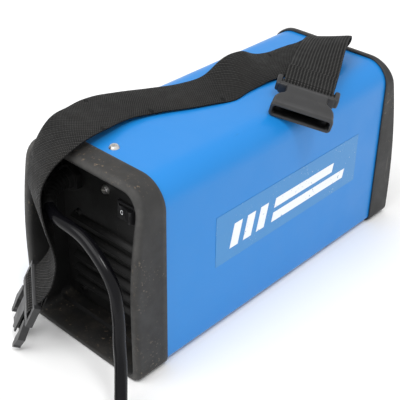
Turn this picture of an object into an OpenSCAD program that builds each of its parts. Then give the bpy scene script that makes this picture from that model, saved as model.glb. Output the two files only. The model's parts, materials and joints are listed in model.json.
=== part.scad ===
// Stick welding inverter: a small carry-along arc welder with a steel cover,
// moulded end frames, a webbing shoulder strap and a mains lead.
// Millimetres. +Z is up, the rear (mains lead, switch, fan) faces +Y and the front
// (welding sockets, current knob) faces -Y. The origin is on the ground plane under
// the middle of the cover.

/* [Cover] */
// Width of the painted cover
shell_w = 118; // [112:1:124]
// Height of the painted cover
shell_h = 152; // [148:1:156]
// Length of the painted cover between the two end frames
shell_len = 256; // [250:2:280]
// Outside radius of the cover's upper long corners
shell_r = 20; // [16:1:24]
// Outside radius of the cover's corners at its foot
shell_r_foot = 4; // [3.5:0.5:6]
// Thickness of the cover's sheet steel
shell_t = 1.5; // [1:0.1:2]
// Height of the cover's underside above the ground
shell_lift = 3; // [2:0.5:5]

/* [End frames] */
// How far an end frame stands proud of the cover
proud = 2; // [1:0.5:4]
// Wall thickness of an end frame's sides and top
rim_t = 8; // [6:0.5:10]
// Thickness of an end frame's floor
rim_floor_t = 3.5; // [3:0.5:5]
// Depth of the rear frame at its foot, from the end of the cover
rear_depth = 30; // [28:1:36]
// Depth of the front frame at its foot, from the end of the cover
front_depth = 28; // [26:1:34]

/* [Mains lead] */
// Diameter of the mains cable
cable_d = 9; // [8:0.5:10]
// Mean radius of the stored coil
coil_r = 49; // [45:1:54]

/* [Shoulder strap] */
// Width of the webbing
strap_w = 40; // [38:1:42]
// Thickness of the webbing
strap_t = 1.8; // [1.2:0.1:2.4]

/* [Controls] */
// Diameter of the current knob
knob_d = 34; // [28:1:38]
// Bore of the welding sockets
socket_bore_d = 9.2; // [9:0.1:9.5]

/* [Hidden] */
$fn = 48;
eps = 0.01;

// Heights and outlines shared by the cover and the end frames
shell_z0 = shell_lift;
shell_z1 = shell_lift + shell_h;
end_y = shell_len / 2;
lap = 6;
rim_w = shell_w + 2 * proud;
rim_z1 = shell_z1 + proud;
rim_r_top = shell_r + proud;
rim_r_foot = 8;
mouth_w = rim_w - 2 * rim_t;
mouth_z0 = rim_floor_t;
mouth_z1 = rim_z1 - rim_t;
mouth_r_top = 14;
mouth_r_foot = 5;
tub_z0 = shell_z0 + shell_t + 2.5;
fit_gap = 0.3;

// Screws that hold the cover: one through its top at each end, four from underneath
cover_screw_y = 118;
base_screws_at = [for (x = [-34, 34], y = [-100, 88]) [x, y, 0]];

// The steel tray on the cover's bottom flanges
tray_w = 80;
tray_y = 112;
tray_t = 1.5;

// Faces of the recessed panels
rear_panel_y = end_y - 4;
front_panel_y = -end_y - 6;
panel_t = 3;
flange_t = 3;
flange_in = 3;

// Bow of each end frame: an arc over the upper part, upright below it
rear_bow_z = 60;
rear_bow_r = 400;
front_bow_z = 20;
front_bow_r = 450;

// Things on the rear panel, as [x, z]
switch_at = [-20, 113];
switch_w = 21;
switch_h = 15;
gland_at = [40, 118];
fan_at = [0, 52];
fan_size = 80;
fan_t = 25;
fan_bore_r = 38;
fan_hole = 35.75;
rear_screws_at = [[4, 122], [-45, 14], [45, 136]];
louvre_w = 84;
louvre_h = 3.6;
louvre_pitch = 12;
louvre_count = 6;
louvre_z0 = 22;

// Things on the front panel, as [x, z]
socket_x = 27;
socket_z = 40;
socket_d = 32;
knob_at = [0, 100];
lights_at = [[-34, 122], [34, 122]];
front_screws_at = [[-43, 139], [43, 139], [-44, 14], [44, 14]];

// Circuit board level and sizes
board_z = 24;
board_t = 1.6;
board_w = 100;
board_y0 = -100;
board_y1 = 70;
standoffs_at = [for (x = [-35.6, 35.6], y = [board_y0 + 8, board_y1 - 4]) [x, y]];

// Mains lead: from the gland round to the ground, then the way into the coil
cable_r = cable_d / 2;
cable_route = [
    [40, 134, 118], [39, 141, 118], [36, 148, 117], [31, 154, 115.5], [24, 159, 114.5],
    [15, 162.5, 114], [5, 164, 113.5], [-6, 164, 113], [-17, 164, 111], [-28, 165, 107],
    [-38, 166, 101], [-46, 167, 94], [-52, 168, 85], [-56, 170, 74], [-59, 172, 63],
    [-62, 175, 51], [-66, 178, 39], [-71, 183, 27], [-78, 190, 16], [-88, 199, 8.5],
    [-100, 211, 5], [-113, 224, 4.5], [-123, 234, 4.5], [-133, 244, 4.5]
];
coil_turns_wide = 3;
coil_layers = 2;
// Direction of travel as the lead runs into the coil, and the coil's centre beside it
coil_entry = cable_route[len(cable_route) - 1];
coil_entry_turn = 135;
coil_outer_r = coil_r + (coil_turns_wide - 1) / 2 * cable_d;
coil_at = [coil_entry[0] + coil_outer_r * sin(coil_entry_turn),
           coil_entry[1] - coil_outer_r * cos(coil_entry_turn)];
// Where the lead leaves the coil's upper layer for the plug, as an angle round the coil
coil_exit_turn = 45;
plug_d = 37;

// Strap stations from the hanging buckle, over the rear frame, along the top, round the
// fold at the front and back to the socket half of the buckle: centre, then width direction
strap_route = [
    [[30, 174, 50], [0.79, -0.60, 0.14]],
    [[26, 170, 56], [0.79, -0.60, 0.12]],
    [[23, 164, 66], [0.79, -0.60, 0.10]],
    [[25, 158, 82], [0.80, -0.60, 0.08]],
    [[31, 163, 107], [0.87, -0.48, 0.04]],
    [[36, 163, 122], [0.90, -0.43, 0.02]],
    [[35, 161, 137], [0.90, -0.43, -0.04]],
    [[31, 156, 151], [0.93, -0.34, -0.05]],
    [[28, 148, 160.5], [0.97, -0.22, 0]],
    [[30, 134, 164.5], [1.00, -0.06, 0.05]],
    [[34, 113, 163.5], [0.98, 0.15, 0.08]],
    [[37, 94, 162], [0.97, 0.20, 0.12]],
    [[35, 76, 160.5], [0.98, 0.14, 0.12]],
    [[29, 58, 159], [0.99, 0.05, 0.08]],
    [[21, 40, 158], [1.00, -0.06, 0.05]],
    [[13, 21, 157.5], [1.00, -0.10, 0.04]],
    [[7, 4, 158.5], [0.97, -0.18, 0.12]],
    [[6, -13, 163.5], [0.88, -0.30, 0.34]],
    [[6, -30, 163.5], [0.86, -0.38, 0.34]],
    [[6, -47, 160], [0.92, -0.36, 0.14]],
    [[4, -64, 158], [0.97, -0.22, 0.04]],
    [[2, -82, 158], [1.00, -0.06, 0]],
    [[0, -99, 158.3], [0.99, 0.08, 0]],
    [[-3, -111, 159.8], [0.98, 0.17, -0.04]],
    [[-6, -117, 164.5], [0.96, 0.22, -0.14]],
    [[-9, -113, 169], [0.94, 0.25, -0.22]],
    [[-15, -99, 170.2], [0.93, 0.31, -0.18]],
    [[-24, -80, 168], [0.90, 0.40, -0.06]],
    [[-34, -61, 165], [0.86, 0.47, 0.10]],
    [[-43, -44, 162.4], [0.83, 0.51, 0.22]]
];
strap_steps = 3;

// Socket half of the buckle: middle of its webbing bar, and its turn
female_at = [-47, -37, 161];
female_turn = [-10, -13.5, 32];
// Plug half of the buckle: middle of its outer webbing bar, and its turn
male_at = [30, 174, 49];
male_turn = [-67, -8, -37];
arm_pivot = [17.5, 21];

// ---------- helpers ----------

// Extrudes an outline drawn as [x, z] from y0 to y1
module along_y(y0, y1) {
    translate([0, y1, 0])
        rotate([90, 0, 0])
            linear_extrude(y1 - y0)
                children();
}

// Extrudes an outline drawn as [y, z] from x0 to x1
module along_x(x0, x1) {
    translate([x0, 0, 0])
        rotate([90, 0, 90])
            linear_extrude(x1 - x0)
                children();
}

// A rod along Y between y0 and y1 at [x, z]
module rod_y(at, r, y0, y1) {
    translate([at[0], y1, at[1]])
        rotate([90, 0, 0])
            cylinder(r = r, h = y1 - y0);
}

// A hexagon along Y, its size across flats, with two flats upright
module hex_y(at, flats, y0, y1) {
    translate([at[0], y1, at[1]])
        rotate([90, 30, 0])
            cylinder(r = flats / 2 / cos(30), h = y1 - y0, $fn = 6);
}

// A box given by its low and high corners
module box(low, high) {
    translate(low)
        cube(high - low);
}

// An upright outline, centred in width, with its own radius above and below
module outline(w, z0, z1, r_top, r_foot) {
    for (side = [-1, 1]) {
        translate([side * (w / 2 - r_top), z1 - r_top])
            circle(r_top);
        translate([side * (w / 2 - r_foot), z0 + r_foot])
            circle(r_foot);
    }
    translate([-w / 2 + r_top, z0 + r_foot])
        square([w - 2 * r_top, z1 - z0 - r_foot]);
    translate([-w / 2 + r_foot, z0])
        square([w - 2 * r_foot, z1 - z0 - r_top]);
    translate([-w / 2, z0 + r_foot])
        square([w, z1 - z0 - r_top - r_foot]);
}

module shell_outline(inset) {
    outline(shell_w - 2 * inset, shell_z0 + inset, shell_z1 - inset,
            shell_r - inset, shell_r_foot - inset);
}

module rim_outline() {
    outline(rim_w, 0, rim_z1, rim_r_top, rim_r_foot);
}

module mouth_outline() {
    outline(mouth_w, mouth_z0, mouth_z1, mouth_r_top, mouth_r_foot);
}

// The opening further in, where the floor steps up over the end of the cover
module tub_outline(inset) {
    outline(mouth_w - 2 * inset, tub_z0 + inset, mouth_z1 - inset,
            mouth_r_top - inset, mouth_r_foot - inset);
}

// Side view of the space that an end frame may fill: outer_y at its foot, bowed back above
module bow_outline(outer_y, bow_z, bow_r) {
    intersection() {
        union() {
            translate([outer_y - bow_r, bow_z])
                circle(bow_r, $fn = 180);
            translate([0, -10])
                square([outer_y, bow_z + 10]);
        }
        translate([0, -10])
            square([outer_y + 10, rim_z1 + 20]);
    }
}

function unit(v) = v / norm(v);
function tangent(p, i) = unit(p[min(i + 1, len(p) - 1)] - p[max(i - 1, 0)]);

// A round tube swept along a route, its radius going from r0 to r1
module tube(route, r0, r1, sides) {
    last = len(route) - 1;
    points = [for (i = [0:last])
        let (t = tangent(route, i),
             u = unit(cross(t, [1, 1, 0])),
             v = cross(t, u),
             r = r0 + (r1 - r0) * i / last)
        for (k = [0:sides - 1])
            route[i] + r * (cos(360 * k / sides) * u + sin(360 * k / sides) * v)];
    faces = concat(
        [[for (k = [sides - 1:-1:0]) k]],
        [for (i = [0:last - 1], k = [0:sides - 1])
            let (a = i * sides + k, b = i * sides + (k + 1) % sides)
            [a, b, b + sides, a + sides]],
        [[for (k = [0:sides - 1]) last * sides + k]]);
    polyhedron(points, [for (f = faces) [for (k = [len(f) - 1:-1:0]) f[k]]]);
}

// A point on the smooth curve through the points before and after a span
function spline(a, b, c, d, t) =
    b + 0.5 * t * (c - a + t * (2 * a - 5 * b + 4 * c - d + t * (3 * (b - c) + d - a)));

// One member of the strap's stations, smoothed between them
function strap_value(which, i, t) =
    let (n = len(strap_route) - 1)
    spline(strap_route[max(i - 1, 0)][which], strap_route[i][which],
           strap_route[min(i + 1, n)][which], strap_route[min(i + 2, n)][which], t);

// ---------- cover and frame ----------

module shell_cover() {
    color("dodgerblue")
        difference() {
            along_y(-end_y - lap + fit_gap, end_y + lap - fit_gap)
                difference() {
                    shell_outline(0);
                    shell_outline(shell_t);
                    translate([-30, 0])
                        square([60, shell_z0 + shell_t + 1]);
                }
            for (side = [-1, 1])
                translate([0, side * cover_screw_y, shell_z1 - 5])
                    cylinder(r = 2.2, h = 10);
            for (at = base_screws_at)
                translate(at)
                    cylinder(r = 2.1, h = 10);
        }
}

module base_tray() {
    z = shell_z0 + shell_t + 0.1;
    color("gainsboro")
        difference() {
            union() {
                box([-tray_w / 2, -tray_y, z], [tray_w / 2, tray_y, z + tray_t]);
                for (side = [-1, 1])
                    box([side * (tray_w / 2 - tray_t / 2) - tray_t / 2, -tray_y, z],
                        [side * (tray_w / 2 - tray_t / 2) + tray_t / 2, tray_y, z + 6]);
            }
            for (at = base_screws_at)
                translate(at)
                    cylinder(r = 2.1, h = 10);
        }
}

// An end frame: a proud rim, a skirt that laps over the cover and a tub inside it
module end_frame(outer_y, bow_z, bow_r, panel_y, screws_at) {
    seat_y = panel_y - panel_t;
    difference() {
        union() {
            intersection() {
                along_y(end_y + lap, outer_y + 1)
                    rim_outline();
                along_x(-rim_w, rim_w)
                    bow_outline(outer_y, bow_z, bow_r);
            }
            along_y(end_y, end_y + lap + eps)
                difference() {
                    rim_outline();
                    shell_outline(-0.15);
                }
            difference() {
                along_y(seat_y - flange_t, end_y + lap + eps)
                    shell_outline(shell_t + 0.2);
                along_y(seat_y, outer_y + 2)
                    tub_outline(0);
                along_y(seat_y - flange_t - 1, outer_y + 2)
                    tub_outline(flange_in);
            }
            // Boss for the cover's top screw
            box([-8, cover_screw_y - 7, mouth_z1 - 7], [8, seat_y, shell_z1 - shell_t - 0.2]);
            // Bosses for the panel's screws, each on a rib from the ring above or below it
            for (at = screws_at) {
                rod_y(at, 4.5, seat_y - 8, seat_y);
                box([at[0] - 2, seat_y - 3, at[1] > 80 ? at[1] : tub_z0],
                    [at[0] + 2, seat_y - 0.5, at[1] > 80 ? mouth_z1 - 1 : at[1]]);
            }
        }
        along_y(end_y + lap, outer_y + 2)
            mouth_outline();
        along_y(end_y + lap - 1, end_y + lap + 1)
            tub_outline(0);
        translate([0, cover_screw_y, mouth_z1 - 4])
            cylinder(r = 2, h = 20);
        for (at = screws_at)
            rod_y(at, 1.75, seat_y - 9, seat_y + 1);
    }
}

module rear_bezel() {
    color("dimgray")
        end_frame(end_y + rear_depth, rear_bow_z, rear_bow_r, rear_panel_y, rear_screws_at);
}

module front_bezel() {
    color("dimgray")
        mirror([0, 1, 0])
            end_frame(end_y + front_depth, front_bow_z, front_bow_r, -front_panel_y,
                      front_screws_at);
}

module rear_panel() {
    color("black")
        difference() {
            along_y(rear_panel_y - panel_t + 0.05, rear_panel_y)
                tub_outline(0.2);
            box([switch_at[0] - 9.8, rear_panel_y - 9, switch_at[1] - 6.6],
                [switch_at[0] + 9.8, rear_panel_y + 9, switch_at[1] + 6.6]);
            rod_y(gland_at, 7.7, rear_panel_y - 9, rear_panel_y + 9);
            for (i = [0:louvre_count - 1])
                box([fan_at[0] - louvre_w / 2, rear_panel_y - 9, louvre_z0 + i * louvre_pitch],
                    [fan_at[0] + louvre_w / 2, rear_panel_y + 9,
                     louvre_z0 + i * louvre_pitch + louvre_h]);
            for (at = rear_screws_at)
                rod_y(at, 1.8, rear_panel_y - 9, rear_panel_y + 9);
            for (x = [-1, 1], z = [-1, 1])
                rod_y(fan_at + [x, z] * fan_hole, 2.1, rear_panel_y - 9, rear_panel_y + 9);
        }
}

module front_panel() {
    y = front_panel_y;
    color("black")
        difference() {
            along_y(y, y + panel_t - 0.05)
                tub_outline(0.2);
            for (side = [-1, 1])
                rod_y([side * socket_x, socket_z], 10.3, y - 9, y + 9);
            rod_y(knob_at, 4.2, y - 9, y + 9);
            for (at = lights_at)
                rod_y(at, 3.1, y - 9, y + 9);
            for (at = front_screws_at)
                rod_y(at, 1.8, y - 9, y + 9);
            for (i = [0:2])
                box([-34, y - 9, 8 + i * 5], [34, y + 9, 10.4 + i * 5]);
        }
}

// A pan-head screw along Z, its head upwards, with a cross recess
module pan_screw(head_r, head_h, shank_r, shank) {
    difference() {
        union() {
            cylinder(r1 = head_r, r2 = head_r * 0.72, h = head_h);
            translate([0, 0, -shank])
                cylinder(r = shank_r, h = shank + eps);
        }
        for (turn = [0, 90])
            rotate([0, 0, turn])
                translate([-head_r * 0.5, -head_r * 0.12, head_h * 0.45])
                    cube([head_r, head_r * 0.24, head_h]);
    }
}

module cover_screws() {
    color("silver")
        for (side = [-1, 1])
            translate([0, side * cover_screw_y, shell_z1 + 0.05])
                rotate([0, 0, 35])
                    pan_screw(4, 1.7, 1.9, 8);
}

module base_screws() {
    color("silver")
        for (at = base_screws_at)
            translate([at[0], at[1], shell_z0 - 0.05])
                mirror([0, 0, 1])
                    pan_screw(3.4, 1.6, 1.9, 8);
}

module rear_panel_screws() {
    color("silver")
        for (at = rear_screws_at)
            translate([at[0], rear_panel_y + 0.05, at[1]])
                rotate([-90, 0, 0])
                    rotate([0, 0, 20])
                        pan_screw(3.8, 2.2, 1.7, 7);
}

module front_panel_screws() {
    color("silver")
        for (at = front_screws_at)
            translate([at[0], front_panel_y - 0.05, at[1]])
                rotate([90, 0, 0])
                    pan_screw(3.6, 2.2, 1.7, 7);
}

// ---------- rear panel fittings ----------

module switch_body() {
    x = switch_at[0];
    z = switch_at[1];
    y = rear_panel_y;
    color("black")
        difference() {
            union() {
                box([x - switch_w / 2, y + 0.05, z - switch_h / 2],
                    [x + switch_w / 2, y + 2, z + switch_h / 2]);
                box([x - 9.5, y - 13, z - 6.3], [x + 9.5, y + 1, z + 6.3]);
                for (dx = [-6, 4])
                    box([x + dx, y - 21, z - 2.4], [x + dx + 0.8, y - 12.9, z + 2.4]);
            }
            box([x - 8.7, y - 6, z - 5.4], [x + 8.7, y + 4, z + 5.4]);
        }
}

// The rocker lies with its 0 half pressed in, and tips about a vertical line through its middle
module switch_rocker() {
    color("black")
        translate([switch_at[0], rear_panel_y - 1, switch_at[1]])
            rotate([0, 0, -10])
                difference() {
                    intersection() {
                        translate([-7.9, -2.4, -5.1])
                            cube([15.8, 8.2, 10.2]);
                        translate([0, 0, -6])
                            cylinder(r = 8.1, h = 12);
                    }
                    translate([0, 20.6, -6])
                        cylinder(r = 16, h = 12, $fn = 96);
                }
}

module cable_gland() {
    y = rear_panel_y;
    color("black")
        difference() {
            union() {
                rod_y(gland_at, 7.5, y - 12, y + 0.5);
                hex_y(gland_at, 20, y + 0.05, y + 5);
                rod_y(gland_at, 8, y + 4, y + 9.5);
            }
            rod_y(gland_at, cable_r + 0.2, y - 13, y + 11);
        }
}

module gland_nut() {
    color("dimgray")
        difference() {
            hex_y(gland_at, 18.5, rear_panel_y - panel_t - 5, rear_panel_y - panel_t);
            rod_y(gland_at, 7.6, rear_panel_y - 20, rear_panel_y);
        }
}

relief_steps = 4;

module strain_relief() {
    color("black")
        tube([for (i = [0:relief_steps]) cable_route[i]], 7.4, 5.2, 16);
}

// The stretch of the lead inside the gland, the bends outside it and the run to the coil
module mains_cable() {
    color("black")
        tube([for (i = [relief_steps:len(cable_route) - 1]) cable_route[i]],
             cable_r, cable_r, 12);
}

module cable_coil() {
    half = coil_turns_wide * cable_d / 2;
    color("black")
        translate([coil_at[0], coil_at[1], 0])
            rotate_extrude($fn = 96)
                translate([coil_r - half, 0])
                    square([2 * half, coil_layers * cable_d]);
}

function round_coil(turn, r, z) =
    [coil_at[0] + r * cos(turn), coil_at[1] + r * sin(turn), z];
function plug_way(turn) = [sin(turn), -cos(turn), 0];
lead_start = round_coil(coil_exit_turn, coil_outer_r, 1.5 * cable_d);
lead_way = plug_way(coil_exit_turn);
lead_route = [
    lead_start + 2 * lead_way,
    lead_start + 12 * lead_way + [0, 0, 1],
    lead_start + 24 * lead_way + [0, 0, 3],
    lead_start + 36 * lead_way + [0, 0, 4.5],
    lead_start + 46 * lead_way + [0, 0, 5]
];
plug_start = lead_route[len(lead_route) - 1];

module plug_lead() {
    color("black")
        tube(lead_route, cable_r, cable_r, 12);
}

// Places a shape drawn along +X, with its back end at the origin, where the plug lies
module at_plug() {
    translate(plug_start)
        rotate([0, 0, coil_exit_turn - 90])
            children();
}

module plug_body() {
    color("black")
        at_plug()
            difference() {
                union() {
                    rotate([0, 90, 0])
                        cylinder(r1 = 6, r2 = 9, h = 22);
                    translate([21, 0, 0])
                        rotate([0, 90, 0])
                            cylinder(r1 = 12, r2 = plug_d / 2, h = 8);
                    translate([29 - eps, 0, 0])
                        rotate([0, 90, 0])
                            cylinder(r = plug_d / 2, h = 20);
                }
                for (side = [-1, 1])
                    translate([40, side * (plug_d / 2 - 2.2), -3])
                        translate([0, side > 0 ? 0 : -4, 0])
                            cube([12, 4, 6]);
            }
}

module plug_pins() {
    color("silver")
        at_plug()
            for (side = [-1, 1])
                translate([49, 0, side * 9.5])
                    rotate([0, 90, 0]) {
                        cylinder(r = 2.4, h = 17);
                        translate([0, 0, 17 - eps])
                            cylinder(r1 = 2.4, r2 = 1.2, h = 2);
                    }
}

module plug_earth_clips() {
    color("silver")
        at_plug()
            for (side = [-1, 1])
                translate([40.1, side * (plug_d / 2 - 1.6) - 0.4, -2.4])
                    cube([8.8, 0.8, 4.8]);
}

module fan_frame() {
    y1 = rear_panel_y - panel_t - 0.05;
    color("black") {
        along_y(y1 - fan_t, y1)
            difference() {
                translate(fan_at - [1, 1] * fan_size / 2)
                    square(fan_size);
                translate(fan_at)
                    circle(fan_bore_r);
                for (x = [-1, 1], z = [-1, 1])
                    translate(fan_at + [x, z] * fan_hole)
                        circle(2.1);
            }
        // The spider that carries the spindle
        along_y(y1 - fan_t + 0.2, y1 - fan_t + 3)
            translate(fan_at)
                union() {
                    circle(15);
                    for (turn = [45:90:315])
                        rotate(turn)
                            translate([12, -2])
                                square([fan_bore_r - 8, 4]);
                }
        rod_y(fan_at, 2, y1 - fan_t + 1, y1 - 8);
    }
}

module fan_rotor() {
    y1 = rear_panel_y - panel_t - 0.05;
    blades = 7;
    color("dimgray")
        difference() {
            union() {
                rod_y(fan_at, 16, y1 - 20, y1 - 4);
                for (i = [0:blades - 1])
                    translate([fan_at[0], y1 - 12, fan_at[1]])
                        rotate([0, i * 360 / blades, 0])
                            rotate([38, 0, 0])
                                translate([14, -7.5, -0.8])
                                    cube([22, 15, 1.6]);
            }
            rod_y(fan_at, 2.05, y1 - 21, y1 - 7);
            rod_y(fan_at, 13.5, y1 - 21, y1 - 12);
        }
}

module fan_screws() {
    color("silver")
        for (x = [-1, 1], z = [-1, 1])
            translate([fan_at[0] + x * fan_hole, rear_panel_y + 0.05, fan_at[1] + z * fan_hole])
                rotate([-90, 0, 0])
                    pan_screw(3.6, 2, 1.9, 20);
}

// ---------- front panel fittings ----------

module socket_insulator(x) {
    y = front_panel_y;
    at = [x, socket_z];
    color("black")
        difference() {
            union() {
                rod_y(at, socket_d / 2, y - 4, y - 0.05);
                rod_y(at, 12, y - 14, y - 3);
                rod_y(at, 10, y - 1, y + 18);
            }
            rod_y(at, 7.4, y - 15, y + 19);
            box([x - 1.6, y - 15, socket_z], [x + 1.6, y - 3, socket_z + 9.5]);
        }
}

// A brass contact: bored to take the welding plug, with a stud for the busbar behind
module socket_contact(x) {
    y = front_panel_y;
    at = [x, socket_z];
    color("gold")
        difference() {
            union() {
                rod_y(at, 7.3, y - 12, y + 20);
                rod_y(at, 4, y + 19, y + 34);
            }
            rod_y(at, socket_bore_d / 2, y - 13, y + 12);
        }
}

module positive_socket() { socket_insulator(-socket_x); }
module negative_socket() { socket_insulator(socket_x); }
module positive_contact() { socket_contact(-socket_x); }
module negative_contact() { socket_contact(socket_x); }

module socket_nuts() {
    y = front_panel_y + panel_t;
    color("silver")
        for (side = [-1, 1])
            difference() {
                hex_y([side * socket_x, socket_z], 27, y + 0.05, y + 5);
                rod_y([side * socket_x, socket_z], 10.1, y - 1, y + 6);
            }
}

knob_gap = 1.2;
knob_shaft_r = 3;
knob_h = 13;

module current_knob() {
    y = front_panel_y - knob_gap;
    flutes = 18;
    color("black")
        difference() {
            union() {
                translate([knob_at[0], y, knob_at[1]])
                    rotate([90, 0, 0])
                        cylinder(r1 = knob_d / 2, r2 = knob_d / 2 - 2, h = knob_h);
            }
            for (i = [0:flutes - 1])
                translate([knob_at[0], 0, knob_at[1]])
                    rotate([0, i * 360 / flutes, 0])
                        translate([knob_d / 2 + 0.4, 0, 0])
                            rod_y([0, 0], 1.6, y - knob_h - 1, y - 3);
            rod_y(knob_at, knob_shaft_r, y - 9, y + 1);
            box([knob_at[0] - 0.7, y - knob_h - 1, knob_at[1] + 4],
                [knob_at[0] + 0.7, y - knob_h + 0.6, knob_at[1] + knob_d]);
        }
}

module dial_plate() {
    y = front_panel_y;
    color("lightgray")
        difference() {
            along_y(y - 0.6, y - 0.05)
                difference() {
                    translate(knob_at)
                        circle(27);
                    translate([knob_at[0] - 40, knob_at[1] - 60])
                        square([80, 40]);
                }
            rod_y(knob_at, 4.2, y - 5, y + 5);
        }
}

module potentiometer() {
    y = front_panel_y;
    color("silver")
        difference() {
            union() {
                rod_y(knob_at, 8, y + 8, y + 18);
                rod_y(knob_at, 4, y - 0.5, y + 8 + eps);
            }
            rod_y(knob_at, knob_shaft_r + 0.05, y - 2, y + 16);
        }
}

module knob_shaft() {
    y = front_panel_y;
    color("gold")
        rod_y(knob_at, knob_shaft_r, y - knob_gap - 9, y + 15);
}

module lamp(at) {
    y = front_panel_y;
    rod_y(at, 3, y - 0.5, y + 7);
    translate([at[0], y - 0.4, at[1]])
        intersection() {
            sphere(r = 3.6);
            rotate([90, 0, 0])
                cylinder(r = 4, h = 5);
        }
}

module power_light() {
    color("limegreen")
        lamp(lights_at[1]);
}

module fault_light() {
    color("orange")
        lamp(lights_at[0]);
}

module side_label() {
    color("steelblue")
        box([-shell_w / 2 - 0.25, -96, 60], [-shell_w / 2 - 0.02, 77, 104]);
}

// ---------- strap and buckle ----------

module shoulder_strap() {
    spans = len(strap_route) - 1;
    places = [for (i = [0:spans - 1], s = [0:strap_steps - 1]) [i, s / strap_steps],
              [spans - 1, 1]];
    centres = [for (p = places) strap_value(0, p[0], p[1])];
    last = len(centres) - 1;
    points = [for (i = [0:last])
        let (w = unit(strap_value(1, places[i][0], places[i][1])),
             n = unit(cross(tangent(centres, i), w)))
        each [centres[i] - w * strap_w / 2 - n * strap_t / 2,
              centres[i] + w * strap_w / 2 - n * strap_t / 2,
              centres[i] + w * strap_w / 2 + n * strap_t / 2,
              centres[i] - w * strap_w / 2 + n * strap_t / 2]];
    faces = concat(
        [[0, 1, 2, 3]],
        [for (i = [0:last - 1], k = [0:3])
            let (a = 4 * i + k, b = 4 * i + (k + 1) % 4)
            each [[a, a + 4, b + 4], [a, b + 4, b]]],
        [[4 * last + 3, 4 * last + 2, 4 * last + 1, 4 * last]]);
    color("black")
        polyhedron(points, faces);
}

module at_female() {
    translate(female_at)
        rotate(female_turn)
            children();
}

module at_male() {
    translate(male_at)
        rotate(male_turn)
            children();
}

// The sewn-back end of the webbing that holds the socket half of the buckle
module strap_hem() {
    color("black")
        at_female()
            box([-strap_w / 2 + 0.5, -18, 1.2], [strap_w / 2 - 0.5, -3.2, 2.8]);
}

// Socket half: a webbing bar, two ears, side windows for the arms and an open mouth
module buckle_female() {
    bar_r = 2.4;
    ear_x = 22.4;
    ear_t = 3.4;
    root_w = 43;
    neck_w = 33;
    body_w = 47;
    body_t = 11;
    body_y0 = 17;
    mouth_y = 37;
    pocket = [41, 30, 6.8];
    pocket_y = 12;
    color("black")
        at_female()
            difference() {
                union() {
                    translate([-ear_x, 0, 0])
                        rotate([0, 90, 0])
                            cylinder(r = bar_r, h = 2 * ear_x);
                    for (side = [-1, 1])
                        translate([side * ear_x - ear_t / 2, -bar_r, -4])
                            cube([ear_t, 12, 8]);
                    translate([-root_w / 2, 6.5, -4.8])
                        cube([root_w, 4, 9.6]);
                    translate([-neck_w / 2, 10, -body_t / 2])
                        cube([neck_w, body_y0 - 9, body_t]);
                    translate([-body_w / 2, body_y0, -body_t / 2])
                        cube([body_w, mouth_y - body_y0, body_t]);
                }
                translate([-pocket[0] / 2, pocket_y, -pocket[2] / 2])
                    cube(pocket);
            }
}

// Plug half without its arms: two webbing bars between rails, a head block and a guide
module buckle_male() {
    color("black")
        at_male()
            union() {
                for (y = [0, 9])
                    translate([-22, y, 0])
                        rotate([0, 90, 0])
                            cylinder(r = y == 0 ? 2.6 : 1.9, h = 44);
                for (side = [-1, 1])
                    translate([side * 23 - 1.75, -2.6, -2.5])
                        cube([3.5, 20, 5]);
                translate([-23, 14, -2.5])
                    cube([46, 4.5, 5]);
                for (z = [-2.6, 1.2])
                    translate([-7, 18, z])
                        cube([14, 25, 1.4]);
                translate([-1.2, 18, -2.6])
                    cube([2.4, 27, 5.2]);
            }
}

// One springy arm of the plug half, with its barb, on the side given by -1 or 1
module buckle_arm(side) {
    color("black")
        at_male()
            translate([side * arm_pivot[0], 0, 0])
                mirror([side < 0 ? 1 : 0, 0, 0])
                    translate([0, 0, -2.8])
                        linear_extrude(5.6)
                            union() {
                                translate([0, arm_pivot[1]])
                                    circle(r = 2.2);
                                polygon([[-2.2, arm_pivot[1]], [2.2, arm_pivot[1]],
                                         [4.5, 31], [5.5, 34], [2, 45], [-1.5, 45],
                                         [-2.6, 40], [-1.2, 32]]);
                                translate([0.3, 44.6])
                                    circle(r = 2.4);
                            }
}

module buckle_arm_near() { buckle_arm(-1); }
module buckle_arm_far() { buckle_arm(1); }

// ---------- inside ----------

module power_board() {
    color("darkgreen")
        difference() {
            box([-board_w / 2, board_y0, board_z], [board_w / 2, board_y1, board_z + board_t]);
            for (at = standoffs_at)
                translate([at[0], at[1], board_z - 1])
                    cylinder(r = 1.7, h = 4);
        }
}

module board_standoffs() {
    color("gold")
        for (at = standoffs_at) {
            translate([at[0], at[1], shell_z0 + shell_t + tray_t + 0.15])
                cylinder(r = 2.7, h = board_z - shell_z0 - shell_t - 1.7, $fn = 6);
            translate([at[0], at[1], board_z - 0.1])
                cylinder(r = 1.6, h = 2.2);
        }
}

module control_board() {
    color("green")
        box([-40, -94, board_z + board_t + 0.05], [-38.4, 20, board_z + 66]);
}

// A finned heat sink that stands on the board, fins across the air flow's sides
module heatsink(x0, x1, y0, y1, top) {
    z0 = board_z + board_t + 0.05;
    fins = 7;
    pitch = (top - z0 - 2.5) / (fins - 1);
    color("silver") {
        box([x0, y0, z0], [x0 + 4, y1, top]);
        for (i = [0:fins - 1])
            box([x0 + 4 - eps, y0, z0 + i * pitch], [x1, y1, z0 + i * pitch + 2.5]);
    }
}

module inverter_heatsink() { heatsink(-12, 12, -6, 66, 110); }
module rectifier_heatsink() { heatsink(-12, 12, -97, -43, 84); }

module power_package(x, y, z) {
    box([x - 5, y - 8, z], [x, y + 8, z + 21]);
    for (dy = [-5.4, 0, 5.4])
        box([x - 3.2, y + dy - 0.6, board_z + board_t + 0.05], [x - 2.4, y + dy + 0.6, z + 1]);
}

module inverter_transistors() {
    color("black")
        for (y = [3, 21, 39, 57])
            power_package(-12.05, y, board_z + 12);
}

module rectifier_diodes() {
    color("black")
        for (y = [-88, -70, -52])
            power_package(-12.05, y, board_z + 12);
}

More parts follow.
